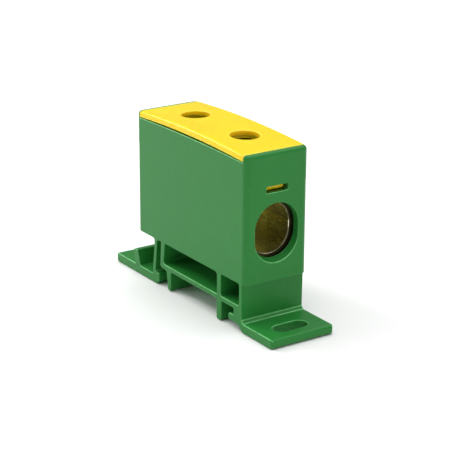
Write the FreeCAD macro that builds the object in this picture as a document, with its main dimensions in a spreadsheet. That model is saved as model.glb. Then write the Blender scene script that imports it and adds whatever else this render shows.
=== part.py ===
"""Single-pole feed-through terminal block for a 35 mm DIN rail.

X runs along the block, across the rail; Y along the rail; Z up.
The origin is under the middle of the block, level with the soles of its two feet.
The front end is the +X end, which carries the fixed hook; the rear (-X) foot is the sprung latch.
"""
import FreeCAD, Part
import os

import Sketcher
from FreeCAD import Placement, Rotation, Vector

OUTPUT_FOLDER = "parts"
SHEET = "Dims"

# Driving dimensions in millimetres: alias, value.
DIMENSIONS = {
    # box of the housing
    "half_width": 9.2,
    "half_length": 25.0,
    "body_bottom": 12.25,
    "wall_top": 45.0,
    "corner_radius": 1.6,
    "top_edge_radius": 1.0,
    "parting_height": 36.5,
    "parting_step": 0.08,
    "cavity_half_length": 23.0,
    "cavity_half_width": 7.8,
    "cavity_floor": 13.8,
    "lap": 0.5,
    # seat for the lid
    "seat_half_length": 23.6,
    "seat_height": 43.25,
    "side_wall_rise": 0.46,
    # conductor entries in the end walls
    "entry_radius": 6.37,
    "entry_half_straight": 1.26,
    "entry_height": 24.46,
    "entry_inner_radius": 6.3,
    "entry_inner_half_straight": 0.83,
    "entry_inner_height": 24.88,
    # windows for the lid's catches, with a lead-in groove above each
    "catch_window_half": 3.15,
    "catch_window_low": 34.9,
    "catch_window_high": 36.55,
    "lead_in_depth": 0.45,
    # ribs and stops that hold the terminal body
    "rib_inner": 12.0,
    "rib_outer": 15.0,
    "stop_half_length": 3.0,
    "stop_height": 38.75,
    "stop_thickness": 0.9,
    "stop_reach": 0.6,
    # rail bracket below the box
    "bracket_top_x": 13.57,
    "bracket_low_x": 14.05,
    "bracket_heel": 5.3,
    "rear_prong_root_x": 11.05,
    "rear_prong_root": 4.95,
    "rear_prong_tip_outer": 10.1,
    "rear_prong_tip_inner": 8.9,
    "bar_low": 5.2,
    "bar_high": 6.5,
    "mid_prong_rear": 12.53,
    "mid_prong_front": 14.6,
    "hook_root_x": 20.05,
    "hook_top": 3.4,
    "hook_tip_x": 17.7,
    "hook_low": 1.6,
    "hook_heel_x": 22.0,
    "sole_start_x": 23.9,
    "leg_front": 23.42,
    "leg_chamfer": 0.75,
    "foot_end": 36.46,
    "foot_height": 2.3,
    "foot_corner": 0.7,
    "slot_x": 31.1,
    "slot_radius": 2.15,
    "slot_half_straight": 2.65,
    "large_window_rear_top": 11.7,
    "large_window_rear_low": 12.5,
    "large_window_front": 12.65,
    "small_window_rear": 14.31,
    "small_window_front": 22.33,
    "window_radius": 0.6,
    "window_tight_radius": 0.3,
    "window_wide_radius": 0.85,
    "heel_radius": 0.8,
    "prong_radius": 0.4,
    "hook_radius": 0.8,
    "root_radius": 0.9,
    # spring leg and rear foot
    "hinge_x": 16.1,
    "hinge_height": 10.9,
    "leg_half_top": 0.57,
    "pivot_radius": 0.55,
    "socket_radius": 0.62,
    "leg_low_inner": 16.35,
    "leg_low_outer": 17.7,
    "nose_top": 3.4,
    "nose_tip_x": 14.7,
    "nose_tip_top": 2.9,
    "nose_tip_low": 0.9,
    "nose_heel_x": 15.9,
    "lever_low_outer": 26.5,
    "lever_low_inner": 24.13,
    "lever_top_outer": 27.4,
    "lever_top_inner": 25.6,
    "lever_top": 6.4,
    "lever_radius": 0.6,
    # lid
    "lid_half_length": 23.5,
    "lid_end_top": 45.05,
    "lid_rise": 0.8,
    "lid_under_rise": 0.75,
    "lid_edge_radius": 0.85,
    "tool_hole_radius": 3.82,
    "collar_radius": 5.0,
    "collar_bottom": 43.6,
    "collar_top": 44.3,
    "arm_inner": 22.05,
    "arm_outer": 22.9,
    "arm_half_width": 2.9,
    "arm_bottom": 34.95,
    "nose_reach": 23.35,
    "nose_low": 35.3,
    "nose_high": 36.4,
    "skirt_half_length": 19.0,
    "skirt_inner": 6.6,
    "skirt_outer": 7.6,
    "skirt_bottom": 41.8,
    # terminal body
    "metal_half_length": 21.75,
    "metal_half_width": 7.5,
    "metal_bottom": 15.2,
    "metal_top": 38.5,
    "metal_edge_radius": 1.2,
    "channel_radius": 5.75,
    "channel_half_straight": 0.83,
    "channel_height": 24.88,
    "channel_chamfer": 0.15,
    "screw_x": 11.05,
    "thread_bore_radius": 5.0,
    # clamping screws and their pressure pads
    "screw_radius": 4.94,
    "screw_length": 10.4,
    "screw_bottom": 32.4,
    "screw_chamfer": 0.9,
    "socket_flats_half": 2.5,
    "socket_depth": 5.5,
    "pad_radius": 4.2,
    "pad_thickness": 1.1,
    "pad_edge": 0.3,
    "spigot_radius": 1.5,
    "spigot_length": 1.6,
    "spigot_bore_radius": 1.56,
    "spigot_bore_depth": 1.9,
}

THROUGH = 100.0  # longer than any cut needs to be


def value(text):
    """Present value of a sum of dimensions, such as 'half_length - corner_radius'."""
    total = 0.0
    sign = 1
    for word in text.split():
        if word in ("+", "-"):
            sign = 1 if word == "+" else -1
        else:
            total += sign * (DIMENSIONS[word] if word in DIMENSIONS else float(word))
            sign = 1
    return total


def formula(text):
    """The same sum as an expression that reads the sheet."""
    words = [f"{SHEET}.{word}" if word in DIMENSIONS else word for word in text.split()]
    return " ".join(words)


def make_sheet(doc):
    sheet = doc.addObject("Spreadsheet::Sheet", SHEET)
    for row, (alias, number) in enumerate(DIMENSIONS.items(), start=1):
        sheet.set(f"A{row}", alias)
        sheet.set(f"B{row}", str(number))
        sheet.setAlias(f"B{row}", alias)
    doc.recompute()
    return sheet


def make_body(doc, name):
    body = doc.addObject("PartDesign::Body", name)
    body.Label = name
    doc.recompute()
    return body


def make_sketch(body, name, plane, height="0"):
    """An empty sketch on one of the body's origin planes, moved along the plane's normal."""
    sketch = body.newObject("Sketcher::SketchObject", name)
    support = next(p for p in body.Origin.OriginFeatures if p.Role == plane)
    sketch.AttachmentSupport = [(support, "")]
    sketch.MapMode = "FlatFace"
    if height != "0":
        sketch.AttachmentOffset = Placement(Vector(0, 0, value(height)), Rotation())
        sketch.setExpression("AttachmentOffset.Base.z", formula(height))
    return sketch


def pin_point(sketch, geometry, position, x, y):
    """Ties a point of the sketch to its two coordinates in the sheet."""
    for kind, text in (("DistanceX", x), ("DistanceY", y)):
        constraint = Sketcher.Constraint(kind, -1, 1, geometry, position, value(text))
        index = sketch.addConstraint(constraint)
        if any(word in DIMENSIONS for word in text.split()):
            sketch.setExpression(f"Constraints[{index}]", formula(text))


def add_polygon(sketch, corners):
    """A closed outline of straight lines through corners, each a pair of sums."""
    points = [Vector(value(x), value(y), 0) for x, y in corners]
    first = sketch.GeometryCount
    count = len(corners)
    for i in range(count):
        sketch.addGeometry(Part.LineSegment(points[i], points[(i + 1) % count]), False)
    for i in range(count):
        following = first + (i + 1) % count
        sketch.addConstraint(Sketcher.Constraint("Coincident", first + i, 2, following, 1))
    for i, (x, y) in enumerate(corners):
        pin_point(sketch, first + i, 1, x, y)


def add_rectangle(sketch, x_low, x_high, y_low, y_high):
    add_polygon(sketch, [(x_low, y_low), (x_high, y_low), (x_high, y_high), (x_low, y_high)])


def add_rounded_rectangle(sketch, half_x, half_y, radius):
    """A rectangle about the sketch's origin with its four corners rounded."""
    def less(text):
        return f"{text} - {radius}"

    def minus(text):
        flipped = text.replace("+", "?").replace("-", "+").replace("?", "-")
        return f"- {flipped}"

    sides = [
        ((minus(less(half_x)), minus(half_y)), (less(half_x), minus(half_y))),
        ((half_x, minus(less(half_y))), (half_x, less(half_y))),
        ((less(half_x), half_y), (minus(less(half_x)), half_y)),
        ((minus(half_x), less(half_y)), (minus(half_x), minus(less(half_y)))),
    ]
    ends = [[Vector(value(x), value(y), 0) for x, y in side] for side in sides]
    lines = [sketch.addGeometry(Part.LineSegment(*points), False) for points in ends]
    r = value(radius)
    for i in range(4):
        start, end = ends[i][1], ends[(i + 1) % 4][0]
        along = (ends[i][1] - ends[i][0]).normalize()
        corner = start + along * r
        centre = start + end - corner
        middle = centre + (corner - centre).normalize() * r
        arc = sketch.addGeometry(Part.Arc(start, middle, end), False)
        sketch.addConstraint(Sketcher.Constraint("Coincident", lines[i], 2, arc, 1))
        sketch.addConstraint(Sketcher.Constraint("Coincident", arc, 2, lines[(i + 1) % 4], 1))
        index = sketch.addConstraint(Sketcher.Constraint("Radius", arc, r))
        sketch.setExpression(f"Constraints[{index}]", formula(radius))
    for line, side in zip(lines, sides):
        pin_point(sketch, line, 1, *side[0])
        pin_point(sketch, line, 2, *side[1])


def add_circle(sketch, x, y, radius):
    circle = Part.Circle(Vector(value(x), value(y), 0), Vector(0, 0, 1), value(radius))
    geometry = sketch.addGeometry(circle, False)
    pin_point(sketch, geometry, 3, x, y)
    index = sketch.addConstraint(Sketcher.Constraint("Radius", geometry, value(radius)))
    sketch.setExpression(f"Constraints[{index}]", formula(radius))


def add_obround(sketch, x, y, radius, half_straight):
    """A slot with round ends, long along the sketch's second axis."""
    centre_x, centre_y = value(x), value(y)
    r, reach = value(radius), value(half_straight)
    top = Vector(centre_x, centre_y + reach, 0)
    low = Vector(centre_x, centre_y - reach, 0)
    side = Vector(r, 0, 0)
    rise = Vector(0, r, 0)
    first = sketch.GeometryCount
    sketch.addGeometry(Part.Arc(top + side, top + rise, top - side), False)
    sketch.addGeometry(Part.LineSegment(top - side, low - side), False)
    sketch.addGeometry(Part.Arc(low - side, low - rise, low + side), False)
    sketch.addGeometry(Part.LineSegment(low + side, top + side), False)
    for i in range(4):
        following = first + (i + 1) % 4
        sketch.addConstraint(Sketcher.Constraint("Tangent", first + i, 2, following, 1))
    pin_point(sketch, first, 3, x, f"{y} + {half_straight}")
    index = sketch.addConstraint(
        Sketcher.Constraint("DistanceY", first + 2, 3, first, 3, 2 * reach))
    sketch.setExpression(f"Constraints[{index}]", f"2 * {formula(half_straight)}")
    index = sketch.addConstraint(Sketcher.Constraint("Radius", first, r))
    sketch.setExpression(f"Constraints[{index}]", formula(radius))


def add_crowned_edge(sketch, half_length, end_height, rise):
    """An arc over the middle from -half_length to half_length. Its number in the sketch."""
    reach, height, crown = value(half_length), value(end_height), value(rise)
    left, right = Vector(-reach, height, 0), Vector(reach, height, 0)
    geometry = sketch.addGeometry(Part.Arc(right, Vector(0, height + crown, 0), left), False)
    radius = (reach ** 2 + crown ** 2) / (2 * crown)
    index = sketch.addConstraint(Sketcher.Constraint("Radius", geometry, radius))
    span, sagitta = formula(half_length), formula(rise)
    sketch.setExpression(
        f"Constraints[{index}]", f"({span} ^ 2 + {sagitta} ^ 2) / (2 * {sagitta})")
    return geometry


def pad(body, name, sketch, length, midplane=False):
    feature = body.newObject("PartDesign::Pad", name)
    feature.Profile = sketch
    feature.Length = value(length)
    feature.setExpression("Length", formula(length))
    feature.SideType = "Symmetric" if midplane else "One side"
    feature.Refine = True
    body.Document.recompute()
    return feature


def pocket(body, name, sketch, length, midplane=False):
    """Cuts against the sketch's normal, or both ways with midplane. Fails if it removes nothing."""
    before = body.Shape.Volume
    feature = body.newObject("PartDesign::Pocket", name)
    feature.Profile = sketch
    feature.Length = value(length)
    if any(word in DIMENSIONS for word in length.split()):
        feature.setExpression("Length", formula(length))
    feature.SideType = "Symmetric" if midplane else "One side"
    feature.Refine = True
    body.Document.recompute()
    if body.Shape.Volume > before - 1e-3:
        raise RuntimeError(f"{body.Label}: {name} removes nothing")
    return feature


def edges_where(shape, test):
    """Names of the edges whose every vertex passes the test."""
    names = []
    for number, edge in enumerate(shape.Edges, start=1):
        if all(test(vertex.Point) for vertex in edge.Vertexes):
            names.append(f"Edge{number}")
    return names


def dress(body, kind, name, edges, size):
    """A Fillet or Chamfer of the named edges of the body's present shape."""
    if not edges:
        raise RuntimeError(f"{body.Label}: {name} finds no edge")
    base = body.Tip
    feature = body.newObject(f"PartDesign::{kind}", name)
    feature.Base = (base, edges)
    size_property = "Radius" if kind == "Fillet" else "Size"
    setattr(feature, size_property, value(size))
    feature.setExpression(size_property, formula(size))
    body.Document.recompute()
    if "Invalid" in feature.State:
        raise RuntimeError(f"{body.Label}: {name} fails")
    return feature


def near(a, b):
    return abs(a - b) < 1e-3


def round_edges_at(body, *heights):
    """Names of the circular edges that lie flat at any of the heights."""
    names = []
    for name in edges_where(body.Shape, lambda point: any(near(point.z, z) for z in heights)):
        if body.Shape.getElement(name).Curve.TypeId == "Part::GeomCircle":
            names.append(name)
    return names


def round_across(body, name, corners, radius):
    """Rounds the edges that run along Y through the given (x, z) corners."""
    places = [(value(x), value(z)) for x, z in corners]
    found = []
    for number, edge in enumerate(body.Shape.Edges, start=1):
        start, end = edge.Vertexes[0].Point, edge.Vertexes[-1].Point
        across = near(start.x, end.x) and near(start.z, end.z)
        if across and any(near(start.x, x) and near(start.z, z) for x, z in places):
            found.append(f"Edge{number}")
    dress(body, "Fillet", name, found, radius)


def add_box_shell(body):
    lower = make_sketch(body, "lower_plan", "XY_Plane", "body_bottom")
    add_rounded_rectangle(lower, "half_length", "half_width", "corner_radius")
    pad(body, "lower_box", lower, "parting_height - body_bottom")
    upper = make_sketch(body, "upper_plan", "XY_Plane", "parting_height")
    add_rounded_rectangle(upper, "half_length + parting_step", "half_width", "corner_radius")
    pad(body, "upper_box", upper, "wall_top - parting_height")
    rim = edges_where(body.Shape, lambda point: near(point.z, value("wall_top")))
    dress(body, "Fillet", "top_edges", rim, "top_edge_radius")


def add_lid_seat(body):
    seat = make_sketch(body, "lid_seat_profile", "XZ_Plane")
    ceiling = "wall_top + 5"
    left, right = "- seat_half_length", "seat_half_length"
    arc = add_crowned_edge(seat, "seat_half_length", "seat_height", "side_wall_rise")
    corners = [(left, ceiling), (right, ceiling)]
    points = [Vector(value(x), value(y), 0) for x, y in corners]
    low_left = Vector(value(left), value("seat_height"), 0)
    low_right = Vector(value(right), value("seat_height"), 0)
    wall_left = seat.addGeometry(Part.LineSegment(low_left, points[0]), False)
    ceiling_line = seat.addGeometry(Part.LineSegment(points[0], points[1]), False)
    wall_right = seat.addGeometry(Part.LineSegment(points[1], low_right), False)
    seat.addConstraint(Sketcher.Constraint("Coincident", wall_left, 2, ceiling_line, 1))
    seat.addConstraint(Sketcher.Constraint("Coincident", ceiling_line, 2, wall_right, 1))
    close_on_arc(seat, arc, wall_left, 1, wall_right, 2)
    pin_point(seat, wall_left, 1, left, "seat_height")
    pin_point(seat, wall_right, 2, right, "seat_height")
    pin_point(seat, ceiling_line, 1, *corners[0])
    pin_point(seat, ceiling_line, 2, *corners[1])
    pocket(body, "lid_seat", seat, str(THROUGH), midplane=True)


def close_on_arc(sketch, arc, left_line, left_end, right_line, right_end):
    """Joins an arc, which runs from right to left, to a line on its left and one on its right."""
    sketch.addConstraint(Sketcher.Constraint("Coincident", arc, 1, right_line, right_end))
    sketch.addConstraint(Sketcher.Constraint("Coincident", arc, 2, left_line, left_end))


def add_rail_bracket(body):
    top = "body_bottom + lap"
    outline = [
        ("- bracket_top_x", top),
        ("- bracket_low_x", "bracket_heel"),
        ("- rear_prong_root_x", "rear_prong_root"),
        ("- rear_prong_tip_outer", "0"),
        ("- rear_prong_tip_inner", "0"),
        ("- rear_prong_tip_inner", "bar_low"),
        ("mid_prong_rear", "bar_low"),
        ("mid_prong_rear", "0"),
        ("mid_prong_front", "0"),
        ("mid_prong_front", "bar_low"),
        ("hook_root_x", "bar_low"),
        ("hook_root_x", "hook_top"),
        ("hook_tip_x", "hook_top"),
        ("hook_tip_x", "hook_low"),
        ("hook_heel_x", "hook_low"),
        ("sole_start_x", "0"),
        ("foot_end", "0"),
        ("foot_end", "foot_height"),
        ("leg_front + leg_chamfer", "foot_height"),
        ("leg_front", "foot_height + leg_chamfer"),
        ("leg_front", top),
    ]
    profile = make_sketch(body, "bracket_profile", "XZ_Plane")
    add_polygon(profile, outline)
    pad(body, "bracket", profile, "half_width + half_width", midplane=True)

    root = make_sketch(body, "spring_root_profile", "XZ_Plane")
    rear, front = "- hinge_x - leg_half_top", "- hinge_x + leg_half_top"
    add_rectangle(root, rear, front, "hinge_height", top)
    pad(body, "spring_root", root, "half_width + half_width", midplane=True)

    windows = make_sketch(body, "bracket_windows_profile", "XZ_Plane")
    large = [
        ("- large_window_rear_top", "body_bottom"),
        ("- large_window_rear_low", "bar_high"),
        ("large_window_front", "bar_high"),
        ("large_window_front", "body_bottom"),
    ]
    small = [
        ("small_window_rear", "body_bottom"),
        ("small_window_rear", "bar_high"),
        ("small_window_front", "bar_high"),
        ("small_window_front", "body_bottom"),
    ]
    add_polygon(windows, large)
    add_polygon(windows, small)
    pocket(body, "bracket_windows", windows, str(THROUGH), midplane=True)

    round_across(body, "small_window_corners", small, "window_radius")
    round_across(body, "large_window_tight_corners", large[0:1] + large[2:3], "window_tight_radius")
    round_across(body, "large_window_wide_corners", large[1:2] + large[3:4], "window_wide_radius")
    round_across(body, "bracket_heel_round", [outline[1]], "heel_radius")
    round_across(body, "hook_tip_round", outline[12:14], "hook_radius")
    round_across(body, "prong_rounds", outline[3:5] + outline[7:9] + outline[2:3], "prong_radius")
    roots = [(rear, "body_bottom"), (front, "body_bottom")]
    round_across(body, "spring_root_rounds", roots, "root_radius")
    foot_corners = edges_where(
        body.Shape,
        lambda p: near(p.x, value("foot_end")) and near(abs(p.y), value("half_width")))
    dress(body, "Fillet", "foot_corners", foot_corners, "foot_corner")


def add_spring_socket(body):
    """Hollows the root of the spring leg so that the leg's round top can turn in it."""
    socket = make_sketch(body, "spring_socket_profile", "XZ_Plane")
    add_circle(socket, "- hinge_x", "hinge_height", "socket_radius")
    pocket(body, "spring_socket", socket, str(THROUGH), midplane=True)


def add_foot_slot(body, sign):
    """Slot for a mounting screw, long along the rail, in the foot on that side."""
    slot = make_sketch(body, "foot_slot_plan", "XY_Plane", "foot_height + lap")
    add_obround(slot, f"{sign} slot_x", "0", "slot_radius", "slot_half_straight")
    pocket(body, "foot_slot", slot, "foot_height + lap + lap")


def add_cavity(body):
    cavity = make_sketch(body, "cavity_plan", "XY_Plane", "wall_top")
    add_rectangle(cavity, "- cavity_half_length", "cavity_half_length",
                  "- cavity_half_width", "cavity_half_width")
    pocket(body, "cavity", cavity, "wall_top - cavity_floor")

    entries = make_sketch(body, "conductor_entries_profile", "YZ_Plane")
    add_obround(entries, "0", "entry_inner_height", "entry_inner_radius",
                "entry_inner_half_straight")
    pocket(body, "conductor_entries", entries, str(THROUGH), midplane=True)
    add_entry_funnel(body, "front", "half_length", "cavity_half_length")
    add_entry_funnel(body, "rear", "- half_length", "- cavity_half_length")

    windows = make_sketch(body, "catch_windows_profile", "YZ_Plane")
    add_rectangle(windows, "- catch_window_half", "catch_window_half",
                  "catch_window_low", "catch_window_high")
    pocket(body, "catch_windows", windows, str(THROUGH), midplane=True)

    grooves = make_sketch(body, "lead_in_plan", "XY_Plane", "wall_top")
    inner, outer = "cavity_half_length - lap", "cavity_half_length + lead_in_depth"
    half = "catch_window_half"
    add_rectangle(grooves, inner, outer, f"- {half}", half)
    add_rectangle(grooves, "- cavity_half_length - lead_in_depth",
                  "- cavity_half_length + lap", f"- {half}", half)
    pocket(body, "lead_in_grooves", grooves, "wall_top - catch_window_low")


def add_entry_funnel(body, end, mouth, throat):
    """Widens an entry towards its mouth, mostly downwards, to lead the conductor up and in."""
    before = body.Shape.Volume
    wide = make_sketch(body, f"{end}_mouth", "YZ_Plane", mouth)
    add_obround(wide, "0", "entry_height", "entry_radius", "entry_half_straight")
    narrow = make_sketch(body, f"{end}_throat", "YZ_Plane", throat)
    add_obround(narrow, "0", "entry_inner_height", "entry_inner_radius",
                "entry_inner_half_straight")
    feature = body.newObject("PartDesign::SubtractiveLoft", f"{end}_funnel")
    feature.Profile = wide
    feature.Sections = [narrow]
    feature.Ruled = True
    body.Document.recompute()
    if "Invalid" in feature.State or body.Shape.Volume > before - 1e-3:
        raise RuntimeError(f"{body.Label}: {end}_funnel fails")


def add_terminal_supports(body):
    """Cross ribs under the terminal body and a stop over each of its long sides."""
    ribs = make_sketch(body, "rib_plan", "XY_Plane", "cavity_floor - lap")
    for low, high in (("rib_inner", "rib_outer"), ("- rib_outer", "- rib_inner")):
        add_rectangle(ribs, low, high, "- cavity_half_width - lap", "cavity_half_width + lap")
    pad(body, "support_ribs", ribs, "metal_bottom - cavity_floor + lap")

    stops = make_sketch(body, "stop_plan", "XY_Plane", "stop_height")
    inner, outer = "cavity_half_width - stop_reach", "cavity_half_width + lap"
    add_rectangle(stops, "- stop_half_length", "stop_half_length", inner, outer)
    add_rectangle(stops, "- stop_half_length", "stop_half_length",
                  "- cavity_half_width - lap", "- cavity_half_width + stop_reach")
    pad(body, "terminal_stops", stops, "stop_thickness")


def make_housing(doc):
    body = make_body(doc, "housing")
    add_box_shell(body)
    add_lid_seat(body)
    add_rail_bracket(body)
    add_spring_socket(body)
    add_foot_slot(body, "+")
    add_cavity(body)
    add_terminal_supports(body)
    return body


def make_latch_foot(doc):
    """Spring leg, latch nose, rear foot and the wall that a screwdriver pushes."""
    body = make_body(doc, "latch_foot")
    outline = [
        ("- hinge_x + pivot_radius", "hinge_height"),
        ("- leg_low_inner", "nose_top"),
        ("- nose_tip_x", "nose_tip_top"),
        ("- nose_tip_x", "nose_tip_low"),
        ("- nose_heel_x", "0"),
        ("- foot_end", "0"),
        ("- foot_end", "foot_height"),
        ("- lever_low_outer", "foot_height"),
        ("- lever_top_outer", "lever_top"),
        ("- lever_top_inner", "lever_top"),
        ("- lever_low_inner", "foot_height"),
        ("- leg_low_outer", "foot_height"),
        ("- hinge_x - pivot_radius", "hinge_height"),
    ]
    profile = make_sketch(body, "latch_profile", "XZ_Plane")
    add_polygon(profile, outline)
    pad(body, "latch", profile, "half_width + half_width", midplane=True)
    pivot = make_sketch(body, "pivot_profile", "XZ_Plane")
    add_circle(pivot, "- hinge_x", "hinge_height", "pivot_radius")
    pad(body, "pivot", pivot, "half_width + half_width", midplane=True)

    round_across(body, "lever_rounds", outline[8:10], "lever_radius")
    round_across(body, "nose_rounds", outline[2:4] + outline[10:12], "prong_radius")
    corners = edges_where(
        body.Shape,
        lambda p: near(p.x, -value("foot_end")) and near(abs(p.y), value("half_width")))
    dress(body, "Fillet", "foot_corners", corners, "foot_corner")
    add_foot_slot(body, "-")
    return body


def make_lid(doc):
    body = make_body(doc, "lid")
    plate = make_sketch(body, "plate_profile", "XZ_Plane")
    top = add_crowned_edge(plate, "lid_half_length", "lid_end_top", "lid_rise")
    under = add_crowned_edge(plate, "lid_half_length", "seat_height", "lid_under_rise")
    ends = {}
    for side, sign in (("left", "-"), ("right", "+")):
        x = f"{sign} lid_half_length"
        low = Vector(value(x), value("seat_height"), 0)
        high = Vector(value(x), value("lid_end_top"), 0)
        ends[side] = plate.addGeometry(Part.LineSegment(low, high), False)
    close_on_arc(plate, under, ends["left"], 1, ends["right"], 1)
    close_on_arc(plate, top, ends["left"], 2, ends["right"], 2)
    for side, sign in (("left", "-"), ("right", "+")):
        pin_point(plate, ends[side], 1, f"{sign} lid_half_length", "seat_height")
        pin_point(plate, ends[side], 2, f"{sign} lid_half_length", "lid_end_top")
    pad(body, "plate", plate, "half_width + half_width", midplane=True)

    def on_long_top_edge(point):
        return near(abs(point.y), value("half_width")) and point.z > value("lid_end_top") - 0.01

    long_edges = edges_where(body.Shape, on_long_top_edge)
    dress(body, "Fillet", "long_edges", long_edges, "lid_edge_radius")

    collars = make_sketch(body, "collar_plan", "XY_Plane", "collar_bottom")
    for sign in ("+", "-"):
        add_circle(collars, f"{sign} screw_x", "0", "collar_radius")
    pad(body, "collars", collars, "collar_top - collar_bottom")
    skirts = make_sketch(body, "skirt_plan", "XY_Plane", "skirt_bottom")
    add_rectangle(skirts, "- skirt_half_length", "skirt_half_length", "skirt_inner", "skirt_outer")
    add_rectangle(skirts, "- skirt_half_length", "skirt_half_length",
                  "- skirt_outer", "- skirt_inner")
    pad(body, "skirts", skirts, "collar_top - skirt_bottom")
    holes = make_sketch(body, "tool_hole_plan", "XY_Plane", "wall_top + 5")
    for sign in ("+", "-"):
        add_circle(holes, f"{sign} screw_x", "0", "tool_hole_radius")
    pocket(body, "tool_holes", holes, "10")

    arms = make_sketch(body, "catch_arm_profile", "XZ_Plane")
    for sign in ("+", "-"):
        add_polygon(arms, [
            (f"{sign} arm_inner", "seat_height + lap"),
            (f"{sign} arm_inner", "arm_bottom"),
            (f"{sign} arm_outer", "arm_bottom"),
            (f"{sign} nose_reach", "nose_low"),
            (f"{sign} nose_reach", "nose_high"),
            (f"{sign} arm_outer", "nose_high"),
            (f"{sign} arm_outer", "seat_height + lap"),
        ])
    pad(body, "catch_arms", arms, "arm_half_width + arm_half_width", midplane=True)
    return body


def make_terminal_body(doc):
    """Extruded block with a channel for the conductor and two tapped bores from above."""
    body = make_body(doc, "terminal_body")
    section = make_sketch(body, "section", "YZ_Plane")
    add_rectangle(section, "- metal_half_width", "metal_half_width", "metal_bottom", "metal_top")
    pad(body, "extrusion", section, "metal_half_length + metal_half_length", midplane=True)
    corners = []
    for number, edge in enumerate(body.Shape.Edges, start=1):
        if near(edge.Length, 2 * value("metal_half_length")):
            corners.append(f"Edge{number}")
    dress(body, "Fillet", "long_corners", corners, "metal_edge_radius")

    channel = make_sketch(body, "channel_section", "YZ_Plane")
    add_obround(channel, "0", "channel_height", "channel_radius", "channel_half_straight")
    pocket(body, "channel", channel, str(THROUGH), midplane=True)
    reach = value("channel_radius + channel_half_straight") + 0.01

    def on_channel_mouth(point):
        from_centre = Vector(0, point.y, point.z - value("channel_height")).Length
        return near(abs(point.x), value("metal_half_length")) and from_centre < reach

    mouths = edges_where(body.Shape, on_channel_mouth)
    dress(body, "Chamfer", "channel_mouths", mouths, "channel_chamfer")

    bores = make_sketch(body, "tapped_bore_plan", "XY_Plane", "metal_top")
    for sign in ("+", "-"):
        add_circle(bores, f"{sign} screw_x", "0", "thread_bore_radius")
    pocket(body, "tapped_bores", bores, "metal_top - channel_height")
    return body


def add_hexagon(sketch, flats_half):
    """A regular hexagon about the sketch's origin, with its flats facing up and down."""
    corner_radius = value(flats_half) * 2 / 3 ** 0.5
    first = sketch.GeometryCount
    corners = [Vector(corner_radius, 0, 0)]
    sixth = Rotation(Vector(0, 0, 1), 60)
    for _ in range(5):
        corners.append(sixth.multVec(corners[-1]))
    for i in range(6):
        sketch.addGeometry(Part.LineSegment(corners[i], corners[(i + 1) % 6]), False)
    guide = sketch.addGeometry(Part.Circle(Vector(), Vector(0, 0, 1), corner_radius), True)
    sketch.addConstraint(Sketcher.Constraint("Coincident", guide, 3, -1, 1))
    for i in range(6):
        following = first + (i + 1) % 6
        sketch.addConstraint(Sketcher.Constraint("Coincident", first + i, 2, following, 1))
        sketch.addConstraint(Sketcher.Constraint("PointOnObject", first + i, 1, guide))
    for i in range(1, 6):
        sketch.addConstraint(Sketcher.Constraint("Equal", first, first + i))
    sketch.addConstraint(Sketcher.Constraint("PointOnObject", first, 1, -1))
    index = sketch.addConstraint(Sketcher.Constraint("Radius", guide, corner_radius))
    sketch.setExpression(f"Constraints[{index}]", f"2 * {formula(flats_half)} / sqrt(3)")


def make_clamp_screw(doc, name, sign):
    """Socket set screw, M10 coarse, its thread left as a plain cylinder."""
    body = make_body(doc, name)
    shank = make_sketch(body, "shank_plan", "XY_Plane")
    add_circle(shank, "0", "0", "screw_radius")
    pad(body, "shank", shank, "screw_length")
    rims = round_edges_at(body, 0, value("screw_length"))
    dress(body, "Chamfer", "end_chamfers", rims, "screw_chamfer")
    key = make_sketch(body, "hex_socket_plan", "XY_Plane", "screw_length")
    add_hexagon(key, "socket_flats_half")
    pocket(body, "hex_socket", key, "socket_depth")
    bore = make_sketch(body, "spigot_bore_plan", "XY_Plane", "spigot_bore_depth")
    add_circle(bore, "0", "0", "spigot_bore_radius")
    pocket(body, "spigot_bore", bore, "spigot_bore_depth")
    place_on_screw_axis(body, sign, "screw_bottom")
    return body


def make_pressure_pad(doc, name, sign):
    """Disc that the screw presses on the conductor, with a spigot that turns in the screw."""
    body = make_body(doc, name)
    disc = make_sketch(body, "disc_plan", "XY_Plane")
    add_circle(disc, "0", "0", "pad_radius")
    pad(body, "disc", disc, "pad_thickness")
    dress(body, "Chamfer", "disc_edge", round_edges_at(body, 0), "pad_edge")
    spigot = make_sketch(body, "spigot_plan", "XY_Plane", "pad_thickness")
    add_circle(spigot, "0", "0", "spigot_radius")
    pad(body, "spigot", spigot, "spigot_length")
    place_on_screw_axis(body, sign, "screw_bottom - pad_thickness")
    return body


def place_on_screw_axis(body, sign, height):
    along = f"{sign} screw_x"
    body.Placement = Placement(Vector(value(along), 0, value(height)), Rotation())
    body.setExpression("Placement.Base.x", formula(along))
    body.setExpression("Placement.Base.z", formula(height))


def check(doc, bodies):
    """Stops if any object of the document failed or a sub-part isn't one valid solid."""
    for item in doc.Objects:
        if "Invalid" in item.State or "Error" in item.State:
            raise RuntimeError(f"{item.Label} failed to compute: {item.State}")
    for body in bodies:
        shape = body.Shape
        if shape.isNull() or not shape.isValid() or len(shape.Solids) != 1:
            raise RuntimeError(f"{body.Label} is not one valid solid")


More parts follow.
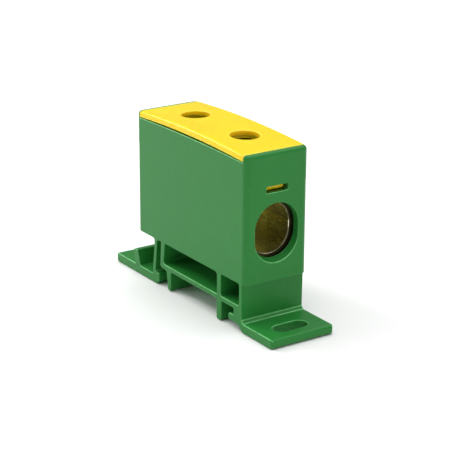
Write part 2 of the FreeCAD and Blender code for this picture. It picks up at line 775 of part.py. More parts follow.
def main():
    doc = FreeCAD.newDocument("terminal_block")
    make_sheet(doc)
    bodies = [
        make_housing(doc),
        make_latch_foot(doc),
        make_lid(doc),
        make_terminal_body(doc),
    ]
    for end, sign in (("front", "+"), ("rear", "-")):
        bodies.append(make_clamp_screw(doc, f"clamp_screw_{end}", sign))
        bodies.append(make_pressure_pad(doc, f"pressure_pad_{end}", sign))
    doc.recompute()
    check(doc, bodies)
    os.makedirs(OUTPUT_FOLDER, exist_ok=True)
    for body in bodies:
        body.Shape.exportStep(f"{OUTPUT_FOLDER}/{body.Label}.step")
        box = body.Shape.BoundBox
        print(f"{body.Label}: {body.Shape.Volume:.1f} mm3, x {box.XMin:.2f} {box.XMax:.2f}, "
              f"y {box.YMin:.2f} {box.YMax:.2f}, z {box.ZMin:.2f} {box.ZMax:.2f}")


main()
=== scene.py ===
"""Looks of the DIN rail terminal block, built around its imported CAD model. Metres throughout."""

import math

import bmesh
import bpy
from mathutils import Matrix, Vector


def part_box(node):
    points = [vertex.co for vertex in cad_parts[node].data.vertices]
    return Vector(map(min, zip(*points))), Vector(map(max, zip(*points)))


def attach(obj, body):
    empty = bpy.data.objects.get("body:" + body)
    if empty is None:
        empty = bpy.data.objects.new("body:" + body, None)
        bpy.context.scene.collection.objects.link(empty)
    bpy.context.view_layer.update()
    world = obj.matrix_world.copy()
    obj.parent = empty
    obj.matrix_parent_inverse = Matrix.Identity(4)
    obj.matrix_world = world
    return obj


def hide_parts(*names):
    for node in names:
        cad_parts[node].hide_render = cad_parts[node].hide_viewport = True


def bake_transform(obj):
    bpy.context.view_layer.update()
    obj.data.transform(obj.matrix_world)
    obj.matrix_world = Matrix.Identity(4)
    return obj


MM = 0.001
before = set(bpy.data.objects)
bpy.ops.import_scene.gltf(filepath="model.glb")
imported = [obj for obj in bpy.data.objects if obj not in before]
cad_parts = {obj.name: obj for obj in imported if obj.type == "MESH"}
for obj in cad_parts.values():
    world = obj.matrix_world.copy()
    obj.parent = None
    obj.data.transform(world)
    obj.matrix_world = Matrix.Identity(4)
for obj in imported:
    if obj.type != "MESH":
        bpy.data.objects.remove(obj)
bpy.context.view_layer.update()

SMOOTH_ANGLE = math.radians(50)
BUMP_DEPTH = 0.01 * MM

# Places that the CAD fixes and several pieces share.
HINGE = Vector((-16.1, 0.0, 10.9)) * MM
PARTING = 36.5 * MM
SCREW_X = 11.05 * MM
CHANNEL_Z = 24.88 * MM

# How strongly the step at the parting line gets the painted edge highlight, next to 1 on an ordinary
# outer edge.
PARTING_HIGHLIGHT = 2.5

# Widths of the rounding on the sharp edges of the mouldings.
GREEN_ROUNDING = 0.19 * MM
PLATE_ROUNDING = 0.15 * MM
LID_ROUNDING = 0.12 * MM

# The lid's plate before it is crowned, and how far its middle then rises.
PLATE_HALF_X = 23.5 * MM
PLATE_HALF_Y = 9.2 * MM
PLATE_LOW = 43.45 * MM
PLATE_HIGH = 45.05 * MM
CROWN_LOW = 0.75 * MM
CROWN_MORE_ON_TOP = 0.045 * MM


# ---------------------------------------------------------------- materials

def linear(r, g, b):
    """Linear colour of an sRGB colour given in 0..255."""
    def channel(c):
        c /= 255
        return c / 12.92 if c <= 0.04045 else ((c + 0.055) / 1.055) ** 2.4
    return channel(r), channel(g), channel(b), 1.0


def new_material(name):
    material = bpy.data.materials.new(name)
    material.use_nodes = True
    nodes = material.node_tree.nodes
    return material, nodes, material.node_tree.links, nodes["Principled BSDF"]


def object_coordinates(nodes, links, scale=(1, 1, 1)):
    place = nodes.new("ShaderNodeTexCoord")
    mapping = nodes.new("ShaderNodeMapping")
    mapping.inputs["Scale"].default_value = scale
    links.new(place.outputs["Object"], mapping.inputs["Vector"])
    return mapping.outputs["Vector"]


def noise(nodes, links, vector, scale, detail=4.0, roughness=0.55):
    texture = nodes.new("ShaderNodeTexNoise")
    texture.inputs["Scale"].default_value = scale
    texture.inputs["Detail"].default_value = detail
    texture.inputs["Roughness"].default_value = roughness
    links.new(vector, texture.inputs["Vector"])
    return texture.outputs["Fac"]


def remap(nodes, links, fac, low, high, from_low=0.0, from_high=1.0):
    node = nodes.new("ShaderNodeMapRange")
    node.inputs["From Min"].default_value = from_low
    node.inputs["From Max"].default_value = from_high
    node.inputs["To Min"].default_value = low
    node.inputs["To Max"].default_value = high
    links.new(fac, node.inputs["Value"])
    return node.outputs["Result"]


def blend_colours(nodes, links, fac, first, second):
    """Blends two colours, each a constant or a socket. Inputs 6 and 7 are the colour A and B."""
    node = nodes.new("ShaderNodeMix")
    node.data_type = "RGBA"
    links.new(fac, node.inputs["Factor"])
    for socket, colour in ((6, first), (7, second)):
        if isinstance(colour, tuple):
            node.inputs[socket].default_value = colour
        else:
            links.new(colour, node.inputs[socket])
    return node.outputs[2]


def edge_mask(nodes, links, low, high):
    """0 where the pointiness is below low, as on flats and hollows, 1 above high, on outer edges."""
    geometry = nodes.new("ShaderNodeNewGeometry")
    return remap(nodes, links, geometry.outputs["Pointiness"], 0.0, 1.0, low, high)


def add_bump(nodes, links, shader, height, strength):
    bump = nodes.new("ShaderNodeBump")
    bump.inputs["Distance"].default_value = BUMP_DEPTH
    bump.inputs["Strength"].default_value = strength
    links.new(height, bump.inputs["Height"])
    links.new(bump.outputs["Normal"], shader.inputs["Normal"])


def clouded(nodes, links, pattern, first, second):
    """Two colours blended by a noise pattern, with most of its contrast kept."""
    return blend_colours(nodes, links, remap(nodes, links, pattern, 0.0, 1.0, 0.35, 0.7),
                         first, second)


def vary_roughness(nodes, links, pattern, low, high):
    return remap(nodes, links, pattern, low, high, 0.3, 0.7)


def multiply(nodes, links, first, second):
    node = nodes.new("ShaderNodeMath")
    node.operation = "MULTIPLY"
    links.new(first, node.inputs[0])
    links.new(second, node.inputs[1])
    return node.outputs[0]


def upwardness(nodes, links):
    """How far the surface faces up, which keeps the painted edge highlights to upward-facing bevels.
    """
    geometry = nodes.new("ShaderNodeNewGeometry")
    split = nodes.new("ShaderNodeSeparateXYZ")
    links.new(geometry.outputs["Normal"], split.inputs[0])
    return split.outputs["Z"]


def attribute(nodes, name):
    node = nodes.new("ShaderNodeAttribute")
    node.attribute_name = name
    return node.outputs["Fac"]


def moulded_plastic(name, base, pale, deep, edge, glow):
    """Satin injection-moulded polyamide: slow flow marks, fine spark-eroded grain, and painted
    highlights on the upward-facing bevels.
    """
    material, nodes, links, shader = new_material(name)
    here = object_coordinates(nodes, links)
    along_the_flow = object_coordinates(nodes, links, (0.6, 1.0, 0.35))
    flow = noise(nodes, links, along_the_flow, 70, 3.0)
    mottle = noise(nodes, links, here, 600, 5.0, 0.6)
    grain = noise(nodes, links, here, 5200, 3.0, 0.7)

    colour = clouded(nodes, links, flow, base, pale)
    half_mottled = remap(nodes, links, mottle, 0.0, 0.5, 0.4, 0.75)
    colour = blend_colours(nodes, links, half_mottled, colour, deep)
    # Painted highlight: the marked bevels and the parting step are lightened towards the edge
    # colour, patchily and more where they face up.
    patches = remap(nodes, links, mottle, 0.45, 1.0, 0.35, 0.65)
    upward = remap(nodes, links, upwardness(nodes, links), 0.12, 1.0, -0.1, 0.55)
    patchy_highlight = multiply(nodes, links, attribute(nodes, "edge_highlight"), patches)
    highlit_edges = multiply(nodes, links, patchy_highlight, upward)
    colour = blend_colours(nodes, links, highlit_edges, colour, edge)
    links.new(colour, shader.inputs["Base Color"])
    links.new(vary_roughness(nodes, links, flow, 0.26, 0.38), shader.inputs["Roughness"])
    shader.inputs["IOR"].default_value = 1.5
    shader.inputs["Specular IOR Level"].default_value = 0.22
    shader.inputs["Subsurface Weight"].default_value = glow
    shader.inputs["Subsurface Radius"].default_value = (1.0, 0.7, 0.1)
    shader.inputs["Subsurface Scale"].default_value = 1.5 * MM
    add_bump(nodes, links, shader, grain, 0.1)
    return material


def tinned_aluminium():
    """Tin-plated extrusion: warm, drawn along X, with rough sawn ends in painted shade and painted
    highlights on the mouths and outer edges.
    """
    material, nodes, links, shader = new_material("tinned_aluminium")
    along_x = object_coordinates(nodes, links, (0.04, 1.0, 1.0))
    along_z = object_coordinates(nodes, links, (1.0, 1.0, 0.1))
    drawn = noise(nodes, links, along_x, 3800, 4.0)
    saw_marks = noise(nodes, links, along_z, 2600, 3.0)
    cloud = noise(nodes, links, object_coordinates(nodes, links), 260, 5.0)

    colour = clouded(nodes, links, cloud, linear(178, 182, 122), linear(142, 146, 90))
    # Painted highlight: the sharp outer edges are lightened.
    edges = edge_mask(nodes, links, 0.5, 0.6)
    colour = blend_colours(nodes, links, edges, colour, linear(222, 212, 150))
    # Painted shade: the sawn ends, recessed in the housing, get a dark brown colour; their extra
    # roughness is the real sawn finish.
    sawn_and_shaded = attribute(nodes, "sawn_and_shaded")
    shaded_end_colour = blend_colours(nodes, links, saw_marks, linear(66, 66, 36), linear(88, 86, 52))
    colour = blend_colours(nodes, links, sawn_and_shaded, colour, shaded_end_colour)
    # Painted highlight: the chamfers round the channel's mouths are coloured near white.
    mouth_highlight = attribute(nodes, "mouth_highlight")
    colour = blend_colours(nodes, links, mouth_highlight, colour, linear(255, 246, 218))
    links.new(colour, shader.inputs["Base Color"])
    shader.inputs["Metallic"].default_value = 1.0

    extra_where_sawn = 0.34
    rough = nodes.new("ShaderNodeMath")
    rough.operation = "MULTIPLY_ADD"
    links.new(sawn_and_shaded, rough.inputs[0])
    rough.inputs[1].default_value = extra_where_sawn
    links.new(vary_roughness(nodes, links, drawn, 0.24, 0.4), rough.inputs[2])
    links.new(rough.outputs[0], shader.inputs["Roughness"])
    add_bump(nodes, links, shader, drawn, 0.2)
    return material


def plated_steel(name, tint, rough_low, rough_high):
    """Zinc-plated turned steel: fine turning rings about Z and slight clouding."""
    material, nodes, links, shader = new_material(name)
    round_z = object_coordinates(nodes, links, (0.15, 0.15, 1.0))
    turned = noise(nodes, links, round_z, 5200, 2.0)
    cloud = noise(nodes, links, object_coordinates(nodes, links), 700, 4.0)
    colour = clouded(nodes, links, cloud, tint, linear(150, 152, 150))
    # Painted highlight: the sharp outer edges are lightened.
    edges = edge_mask(nodes, links, 0.53, 0.62)
    colour = blend_colours(nodes, links, edges, colour, linear(225, 226, 222))
    links.new(colour, shader.inputs["Base Color"])
    shader.inputs["Metallic"].default_value = 1.0
    rough = vary_roughness(nodes, links, cloud, rough_low, rough_high)
    links.new(rough, shader.inputs["Roughness"])
    add_bump(nodes, links, shader, turned, 0.2)
    return material


# Each plastic's edge colour is the painted highlight on its upward-facing bevels.
GREEN = moulded_plastic(
    "green_polyamide", base=linear(38, 122, 50), pale=linear(42, 127, 54),
    deep=linear(34, 117, 46), edge=linear(122, 208, 132), glow=0.0)
YELLOW = moulded_plastic(
    "yellow_polyamide", base=linear(250, 207, 16), pale=linear(252, 212, 24),
    deep=linear(246, 200, 8), edge=linear(255, 234, 110), glow=0.7)
TIN = tinned_aluminium()
SCREW = plated_steel("zinc_plated_steel", linear(150, 150, 146), rough_low=0.34, rough_high=0.5)
PAD = plated_steel("pad_steel", linear(196, 190, 170), rough_low=0.28, rough_high=0.44)


# ------------------------------------------------------------------- meshes

def finish_piece(obj, body, material, nodes=()):
    obj.data.materials.clear()
    obj.data.materials.append(material)
    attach(obj, body)
    if nodes:
        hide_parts(*nodes)
    return obj


def link(name, mesh):
    obj = bpy.data.objects.new(name, mesh)
    bpy.context.scene.collection.objects.link(obj)
    return obj


def smooth(mesh):
    for polygon in mesh.polygons:
        polygon.use_smooth = True
    mesh.set_sharp_from_angle(angle=SMOOTH_ANGLE)


def bevel_share(edge):
    """How much of the bevel an edge takes: little at the parting step, none at the hinge."""
    blunt = math.radians(30)
    share_at_step = 0.15
    near_step, near_hinge = 0.02 * MM, 1.0 * MM
    if abs(edge.calc_face_angle(0)) < blunt:
        return 0.0
    ends = [vertex.co for vertex in edge.verts]
    if all(abs(end.z - PARTING) < near_step for end in ends):
        return share_at_step
    if any(math.hypot(end.x - HINGE.x, end.z - HINGE.z) < near_hinge for end in ends):
        return 0.0
    return 1.0


def soften(obj, width):
    """Rounds the sharp edges, and marks the outward ones and the parting step for the painted edge
    highlight.
    """
    mesh = obj.data
    bm = bmesh.new()
    bm.from_mesh(mesh)
    shares = [bevel_share(edge) for edge in bm.edges]
    bm.free()
    weights = mesh.attributes.new("bevel_weight_edge", "FLOAT", "EDGE")
    weights.data.foreach_set("value", shares)
    mesh.materials.clear()
    mesh.materials.append(None)
    mesh.materials.append(None)
    for polygon in mesh.polygons:
        polygon.material_index = 0
    bevel = obj.modifiers.new("edges", "BEVEL")
    bevel.width = width
    bevel.segments = 2
    bevel.limit_method = "WEIGHT"
    bevel.miter_outer = "MITER_ARC"
    bevel.use_clamp_overlap = False
    bevel.material = 1
    low, high = (Vector(obj.bound_box[corner]) for corner in (0, 6))
    bake_modifiers(obj)
    keep_inside(obj.data, low, high)
    mark_edge_highlight(obj.data)


def keep_inside(mesh, low, high):
    """Pulls the points that a bevel pushed past the piece's own box back onto it."""
    for vertex in mesh.vertices:
        for axis in range(3):
            vertex.co[axis] = min(max(vertex.co[axis], low[axis]), high[axis])


def softened(node, name, width):
    """A copy of a CAD node with its flat faces whole again and its sharp edges rounded."""
    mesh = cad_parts[node].data.copy()
    mesh.name = name
    if "custom_normal" in mesh.attributes:
        mesh.attributes.remove(mesh.attributes["custom_normal"])
    bm = bmesh.new()
    bm.from_mesh(mesh)
    bmesh.ops.remove_doubles(bm, verts=bm.verts, dist=1e-6)
    bmesh.ops.dissolve_limit(bm, angle_limit=math.radians(0.4), use_dissolve_boundaries=False,
                             verts=bm.verts, edges=bm.edges, delimit=set())
    bm.to_mesh(mesh)
    bm.free()
    obj = link(name, mesh)
    soften(obj, width)
    weigh_normals(obj)
    return obj


def bake_modifiers(obj):
    """Replaces the object's mesh by what its modifiers make of it."""
    evaluated = obj.evaluated_get(bpy.context.evaluated_depsgraph_get())
    final = bpy.data.meshes.new_from_object(evaluated)
    obj.modifiers.clear()
    obj.data = final
    final.name = obj.name


def mark_edge_highlight(mesh):
    """Marks the outward bevels, which carry the second material, and the parting step for the
    painted edge highlight.
    """
    turned = math.radians(10)
    near_step = 0.05 * MM
    bm = bmesh.new()
    bm.from_mesh(mesh)
    edge_highlight = []
    for face in bm.faces:
        outward = any(edge.is_convex and edge.calc_face_angle(0) > turned for edge in face.edges)
        at_step = abs(face.calc_center_median().z - PARTING) < near_step
        # The painted highlight is strongest on the parting step and is 1 on the other outward
        # bevels.
        edge_highlight.append(PARTING_HIGHLIGHT if at_step else float(face.material_index == 1 and outward))
        face.material_index = 0
    bm.to_mesh(mesh)
    bm.free()
    mesh.attributes.new("edge_highlight", "FLOAT", "FACE").data.foreach_set("value", edge_highlight)


def weigh_normals(obj):
    """Smooth shading in which the large flat faces stay flat."""
    smooth(obj.data)
    weighted = obj.modifiers.new("normals", "WEIGHTED_NORMAL")
    weighted.mode = "FACE_AREA"
    weighted.weight = 60
    weighted.keep_sharp = True
    bake_modifiers(obj)


def loft(name, rings, hollow=False):
    """A solid through rings of as many points each. A hollow one leads back to its first ring."""
    bm = bmesh.new()
    rows = [[bm.verts.new(p) for p in ring] for ring in rings]
    count = len(rows[0])
    following = rows[1:] + rows[:1] if hollow else rows[1:]
    for a, b in zip(rows, following):
        for i in range(count):
            j = (i + 1) % count
            bm.faces.new((a[i], a[j], b[j], b[i]))
    if not hollow:
        bm.faces.new(list(reversed(rows[0])))
        bm.faces.new(rows[-1])
    bmesh.ops.recalc_face_normals(bm, faces=bm.faces)
    mesh = bpy.data.meshes.new(name)
    bm.to_mesh(mesh)
    bm.free()
    smooth(mesh)
    return link(name, mesh)


def circle(centre, radius, z, points):
    """Points round a vertical axis. The radius is a length, or a function of the angle."""
    made = []
    for i in range(points):
        angle = 2 * math.pi * i / points
        r = radius(angle) if callable(radius) else radius
        made.append((centre.x + r * math.cos(angle), centre.y + r * math.sin(angle), z))
    return made


# ------------------------------------------------------------------- pieces

def make_screw(end):
    """Socket set screw with a rolled M10 thread, hexagon socket and chamfered ends."""
    node = f"clamp_screw_{end}"
    low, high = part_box(node)
    centre = (low + high) / 2
    height = high.z - low.z
    crest = (high.x - low.x) / 2
    root = crest - 0.84 * MM
    pitch = 1.5 * MM
    steps_per_pitch = 12
    crest_share, flank_share = 0.12, 0.72
    chamfer_from = root - 0.1 * MM
    chamfer_length_per_radius = 0.95
    half_flats = 2.5 * MM
    bore = 1.56 * MM

    def thread_radius(angle, z):
        phase = (z / pitch - angle / (2 * math.pi)) % 1.0
        flank = min(1.0, max(0.0, (abs(phase - 0.5) * 2 - crest_share) / flank_share))
        from_end = min(z, height - z)
        chamfer = chamfer_from + from_end / chamfer_length_per_radius
        return min(crest + (root - crest) * flank, chamfer)

    def ring(z, radius):
        return circle(centre, radius, low.z + z, 96)

    def hexagon(size):
        def radius(angle):
            from_flat = (angle + math.pi / 6) % (math.pi / 3) - math.pi / 6
            return size / math.cos(from_flat)
        return radius

    rings = [ring(1.9 * MM, 0.01 * MM), ring(1.9 * MM, bore), ring(0.1 * MM, bore),
             ring(0.0, bore + 0.1 * MM)]
    steps = round(height / pitch * steps_per_pitch)
    for k in range(steps + 1):
        z = height * k / steps
        rings.append(ring(z, lambda angle, z=z: thread_radius(angle, z)))
    rings += [
        ring(height, half_flats * 1.2),
        ring(height - 0.16 * MM, hexagon(half_flats + 0.03 * MM)),
        ring(height - 5.1 * MM, hexagon(half_flats)),
        ring(height - 5.2 * MM, hexagon(half_flats - 0.2 * MM)),
        ring(height - 5.9 * MM, 0.05 * MM),
    ]
    screw = loft(f"set_screw_{end}", rings)
    return finish_piece(screw, f"{end}_screw", SCREW, [node])


def make_pad(end):
    """Pressure pad with a ringed face and the spigot that it turns on."""
    node = f"pressure_pad_{end}"
    low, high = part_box(node)
    centre = (low + high) / 2
    disc = (high.x - low.x) / 2
    height = high.z - low.z
    top = 1.1 * MM
    spigot = 1.5 * MM
    groove = 0.12
    ringed_face = [(0.02, groove), (0.6, groove), (0.75, 0.0), (1.5, 0.0), (1.65, groove),
                   (2.3, groove), (2.45, 0.0), (3.2, 0.0), (3.35, groove), (3.6, groove),
                   (3.75, 0.0)]
    outline = [(r * MM, z * MM) for r, z in ringed_face]
    outline += [(disc - 0.25 * MM, 0.0), (disc, 0.3 * MM), (disc, top - 0.12 * MM),
                (disc - 0.12 * MM, top), (spigot + 0.1 * MM, top), (spigot, top + 0.1 * MM),
                (spigot, height - 0.2 * MM), (spigot - 0.2 * MM, height), (0.02 * MM, height)]
    rings = [circle(centre, radius, low.z + z, 64) for radius, z in outline]
    pad = loft(f"pad_{end}", rings)
    return finish_piece(pad, f"{end}_pad", PAD, [node])


def prism(name, corners, y_low, y_high):
    """A solid with the given (x, z) outline between two planes across Y, all in millimetres."""
    rings = [[(x * MM, y * MM, z * MM) for x, z in corners] for y in (y_low, y_high)]
    return loft(name, rings)


def cylinder(name, x, stations):
    """A stack of circles about a vertical axis at x, given as (radius, height)."""
    centre = Vector((x, 0.0, 0.0))
    return loft(name, [circle(centre, radius, z, 72) for radius, z in stations])


def make_plate():
    """The lid's plate, still flat, with its long edges rounded and its two holes cut."""
    hole = 3.82 * MM
    long_edge = 0.85 * MM
    steps = 8
    outline = [(PLATE_HALF_Y, PLATE_LOW), (PLATE_HALF_Y, PLATE_HIGH - long_edge)]
    for k in range(1, steps + 1):
        turn = math.pi / 2 * k / steps
        outline.append((PLATE_HALF_Y - long_edge * (1 - math.cos(turn)),
                        PLATE_HIGH - long_edge * (1 - math.sin(turn))))
    outline += [(-y, z) for y, z in reversed(outline)]
    rings = [[(x, y, z) for y, z in outline] for x in (-PLATE_HALF_X, PLATE_HALF_X)]
    plate = loft("lid_cover", rings)
    for x in (-SCREW_X, SCREW_X):
        cut(plate, cylinder("hole_cutter", x, [(hole, 40 * MM), (hole, 50 * MM)]))
    soften(plate, PLATE_ROUNDING)
    return plate


def crown(mesh):
    """Cuts the plate across at even steps and lifts it into its arch."""
    steps = 32
    bm = bmesh.new()
    bm.from_mesh(mesh)
    for k in range(1, steps):
        x = PLATE_HALF_X * (2 * k / steps - 1)
        bmesh.ops.bisect_plane(bm, geom=bm.verts[:] + bm.edges[:] + bm.faces[:], dist=1e-7,
                               plane_co=(x, 0, 0), plane_no=(1, 0, 0))
    for vertex in bm.verts:
        share = (vertex.co.z - PLATE_LOW) / (PLATE_HIGH - PLATE_LOW)
        rise = CROWN_LOW + CROWN_MORE_ON_TOP * share
        vertex.co.z += rise * (1 - (vertex.co.x / PLATE_HALF_X) ** 2)
    bm.to_mesh(mesh)
    bm.free()


def make_collar(x):
    """The tube under a tool hole."""
    inner, outer = 3.83 * MM, 5.0 * MM
    bottom, top = 43.65 * MM, 44.3 * MM
    collar = cylinder("collar", x, [(inner, bottom), (outer, bottom), (outer, top), (inner, top)])
    close_tube(collar.data)
    return collar


def make_skirt(y):
    """A thin wall under the plate, along one side of the cavity, starting at y."""
    half_length, bottom, top, thickness = 19.0, 41.8, 44.3, 1.0
    corners = [(-half_length, bottom), (half_length, bottom), (half_length, top),
               (-half_length, top)]
    return prism("skirt", corners, y, y + thickness)


def make_arm(side):
    """The arm with a catch that holds one end of the lid down."""
    half_width = 2.9
    corners = [(22.05, 43.9), (22.05, 34.95), (22.9, 34.95), (23.35, 35.3), (23.35, 36.4),
               (22.9, 36.4), (22.9, 43.9)]
    return prism("arm", [(side * x, z) for x, z in corners], -half_width, half_width)


def make_lid():
    """Crowned plate with a collar under each hole, two skirts and an arm with a catch per end."""
    plate = make_plate()
    crown(plate.data)
    parts = [make_collar(x) for x in (-SCREW_X, SCREW_X)]
    parts += [make_skirt(y) for y in (-7.6, 6.6)]
    parts += [make_arm(side) for side in (-1, 1)]
    for part in parts:
        soften(part, LID_ROUNDING)
    join(plate, parts)
    weigh_normals(plate)
    finish_piece(plate, "lid", YELLOW, ["lid"])


def close_tube(mesh):
    """Turns a loft whose first and last rings share one radius into a tube."""
    bm = bmesh.new()
    bm.from_mesh(mesh)
    caps = [face for face in bm.faces if len(face.verts) > 4]
    rims = [edge for face in caps for edge in face.edges]
    bmesh.ops.delete(bm, geom=caps, context="FACES_ONLY")
    bmesh.ops.bridge_loops(bm, edges=rims)
    bmesh.ops.recalc_face_normals(bm, faces=bm.faces)
    bm.to_mesh(mesh)
    bm.free()


def join(target, parts):
    """Adds the parts' meshes to the target's, with their painted-highlight marks."""
    bm = bmesh.new()
    bm.from_mesh(target.data)
    for part in parts:
        bm.from_mesh(part.data)
        bpy.data.objects.remove(part)
    bm.to_mesh(target.data)
    bm.free()


def cut(target, cutter):
    boolean = target.modifiers.new("cut", "BOOLEAN")
    boolean.operation = "DIFFERENCE"
    boolean.solver = "EXACT"
    boolean.object = cutter
    bake_modifiers(target)
    bpy.data.objects.remove(cutter)


def channel_ring(count, per_tooth, widened):
    """Points (y, z) round the serrated channel."""
    radius, half_straight = 5.75 * MM, 0.83 * MM
    tooth = 0.16 * MM
    made = []
    for i in range(count):
        angle = 2 * math.pi * i / count
        phase = (i % per_tooth) / per_tooth
        r = radius - tooth * (1 - abs(2 * phase - 1)) + widened
        lift = half_straight if math.sin(angle) >= 0 else -half_straight
        made.append((r * math.cos(angle), CHANNEL_Z + lift + r * math.sin(angle)))
    return made


def outside_ring(count, inset):
    """Points (y, z) on the rounded rectangle outside, each in line with one of the channel's."""
    low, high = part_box("terminal_body")
    half_y = (high.y - low.y) / 2 - inset
    z_low, z_high = low.z + inset, high.z - inset
    never = 1e9
    made = []
    for i in range(count):
        angle = 2 * math.pi * i / count
        c, s = math.cos(angle), math.sin(angle)
        to_side = half_y / abs(c) if abs(c) > 1 / never else never
        to_level = (z_high - CHANNEL_Z) if s > 0 else (CHANNEL_Z - z_low)
        to_level = to_level / abs(s) if abs(s) > 1 / never else never
        reach = min(to_side, to_level)
        made.append(pull_in(reach * c, CHANNEL_Z + reach * s, half_y, z_low, z_high))
    return made


def pull_in(y, z, half_y, z_low, z_high):
    """Moves a point of the rectangle's edge in to its corner arc."""
    corner = 1.2 * MM
    core_y = half_y - corner
    core_z = min(max(z, z_low + corner), z_high - corner)
    over_y, over_z = abs(y) - core_y, z - core_z
    if over_y <= 0 or over_z == 0:
        return y, z
    length = math.hypot(over_y, over_z)
    sign = 1 if y > 0 else -1
    return sign * (core_y + over_y * corner / length), core_z + over_z * corner / length


def make_terminal():
    """Extruded body with a serrated channel, and the two bores the screws run in."""
    low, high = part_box("terminal_body")
    half = (high.x - low.x) / 2
    teeth, per_tooth = 76, 4
    count = teeth * per_tooth
    mouth = 0.18 * MM
    bevel = 0.12 * MM
    tapped = 5.0 * MM

    channel = channel_ring(count, per_tooth, 0.0)
    channel_mouth = channel_ring(count, per_tooth, mouth)
    outside = outside_ring(count, 0.0)
    outside_end = outside_ring(count, bevel)
    stations = [
        (-half + mouth, channel), (-half, channel_mouth), (-half, outside_end),
        (-half + bevel, outside), (half - bevel, outside), (half, outside_end),
        (half, channel_mouth), (half - mouth, channel),
    ]
    rings = [[(x, y, z) for y, z in ring] for x, ring in stations]
    terminal = loft("terminal", rings, hollow=True)
    for x in (SCREW_X, -SCREW_X):
        cut_bore(terminal, x, tapped, CHANNEL_Z, high.z)
    mark_ends(terminal.data, half)
    weigh_normals(terminal)
    return finish_piece(terminal, "block", TIN, ["terminal_body"])


def mark_ends(mesh, half):
    """Marks the faces of the sawn ends, which get painted shade and more roughness, and the chamfers
    round the channel's mouths, which get a painted highlight.
    """
    end_depth = 0.25 * MM
    facing_along_x, slanting = 0.99, 0.2
    sawn_and_shaded, mouth_highlight = [], []
    for polygon in mesh.polygons:
        level = abs(polygon.normal.x)
        at_end = abs(polygon.center.x) > half - end_depth
        sawn_and_shaded.append(float(at_end and level > facing_along_x))
        mouth_highlight.append(float(at_end and slanting < level < facing_along_x))
    mesh.attributes.new("sawn_and_shaded", "FLOAT", "FACE").data.foreach_set("value", sawn_and_shaded)
    mesh.attributes.new("mouth_highlight", "FLOAT", "FACE").data.foreach_set("value", mouth_highlight)


def cut_bore(target, x, radius, z_low, z_high):
    """Bores down from the top with a countersunk mouth."""
    over = 1.0 * MM
    sink = 0.4 * MM
    cut(target, cylinder("bore_cutter", x, [(radius, z_low), (radius, z_high - sink),
                                            (radius + sink + over, z_high + over)]))


def make_spring_leg():
    """The flexing root of the spring leg, which joins the latch foot to the housing."""
    inside_the_faces = 0.012 * MM
    half_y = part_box("housing")[1].y - inside_the_faces
    half_x = 0.558 * MM
    z_top, z_low = 12.0 * MM, 8.9 * MM
    shift_at_low_end = -0.23 * MM
    steps = 24
    rings = []
    for k in range(steps + 1):
        z = z_top + (z_low - z_top) * k / steps
        lean = max(0.0, (HINGE.z - z) / (HINGE.z - z_low))
        x = HINGE.x + shift_at_low_end * lean
        rings.append([(x - half_x, -half_y, z), (x + half_x, -half_y, z),
                      (x + half_x, half_y, z), (x - half_x, half_y, z)])
    leg = loft("spring_leg_root", rings)
    leg.data.materials.append(GREEN)
    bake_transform(leg)
    return leg


def make_pieces():
    shell = softened("housing", "housing_shell", GREEN_ROUNDING)
    finish_piece(shell, "block", GREEN, ["housing"])
    latch = softened("latch_foot", "latch", GREEN_ROUNDING)
    finish_piece(latch, "latch", GREEN, ["latch_foot"])
    make_lid()
    make_terminal()
    make_spring_leg()
    for end in ("front", "rear"):
        make_screw(end)
        make_pad(end)


# -------------------------------------------------------------- stage, light

def make_stage():
    half = 3.0
    just_below = -0.2 * MM
    corners = [(-half, -half, 0), (half, -half, 0), (half, half, 0), (-half, half, 0)]
    mesh = bpy.data.meshes.new("floor")
    mesh.from_pydata(corners, [], [(0, 1, 2, 3)])
    floor = link("floor", mesh)
    material, _, _, shader = new_material("floor_white")
    shader.inputs["Base Color"].default_value = (0.9, 0.9, 0.9, 1)
    shader.inputs["Roughness"].default_value = 0.9
    shader.inputs["Specular IOR Level"].default_value = 0.1
    mesh.materials.append(material)
    floor.location.z = just_below


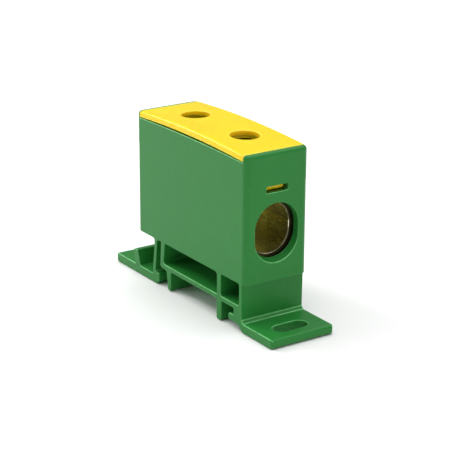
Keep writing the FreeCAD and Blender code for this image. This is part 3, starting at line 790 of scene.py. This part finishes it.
def add_light(name, place, target, size, watts):
    """A square softbox at a place, turned to face its target."""
    data = bpy.data.lights.new(name, "AREA")
    data.shape = "SQUARE"
    data.size = size
    data.energy = watts
    light = bpy.data.objects.new(name, data)
    light.location = place
    light.rotation_mode = "QUATERNION"
    light.rotation_quaternion = (Vector(target) - Vector(place)).to_track_quat("-Z", "Y")
    bpy.context.scene.collection.objects.link(light)


def make_lights():
    """A broad overhead light, with three small ones for the side, its edges and the end."""
    middle = (0.0, 0.0, 0.02)
    add_light("overhead_softbox", (-0.35, 0.25, 2.0), (-0.35, 0.25, 0.0), 3.0, 58.0)
    add_light("side_softbox", (-0.45, -0.60, 0.32), middle, 0.5, 1.3)
    add_light("edge_softbox", (-0.62, -0.26, 0.43), middle, 0.16, 1.9)
    add_light("end_softbox", (0.60, 0.10, 0.16), middle, 0.3, 0.55)
    world = bpy.data.worlds.new("studio")
    bpy.context.scene.world = world
    world.use_nodes = True
    background = world.node_tree.nodes["Background"]
    background.inputs["Color"].default_value = (1, 1, 1, 1)
    background.inputs["Strength"].default_value = 0.3


def make_camera():
    """The photograph's view: from the front end's right, a little above."""
    azimuth, elevation, roll = (math.radians(a) for a in (56.09, 19.33, 0.29))
    distance = 428.59 * MM
    aim = Vector((-2.75, 3.55, 17.61)) * MM
    data = bpy.data.cameras.new("camera")
    data.sensor_width = 36.0
    data.lens = 133.4
    data.clip_start, data.clip_end = 0.01, 20.0
    camera = bpy.data.objects.new("camera", data)
    bpy.context.scene.collection.objects.link(camera)
    back = Vector((math.sin(azimuth) * math.cos(elevation),
                   -math.cos(azimuth) * math.cos(elevation), math.sin(elevation)))
    right = Vector((0, 0, 1)).cross(back).normalized()
    up = back.cross(right)
    across = right * math.cos(roll) + up * math.sin(roll)
    upward = up * math.cos(roll) - right * math.sin(roll)
    turn = Matrix((across, upward, back)).transposed().to_4x4()
    camera.matrix_world = Matrix.Translation(aim + back * distance) @ turn
    bpy.context.scene.camera = camera


make_camera()
make_pieces()
make_stage()
make_lights()
bpy.context.scene.view_settings.view_transform = "Standard"

bpy.context.view_layer.update()
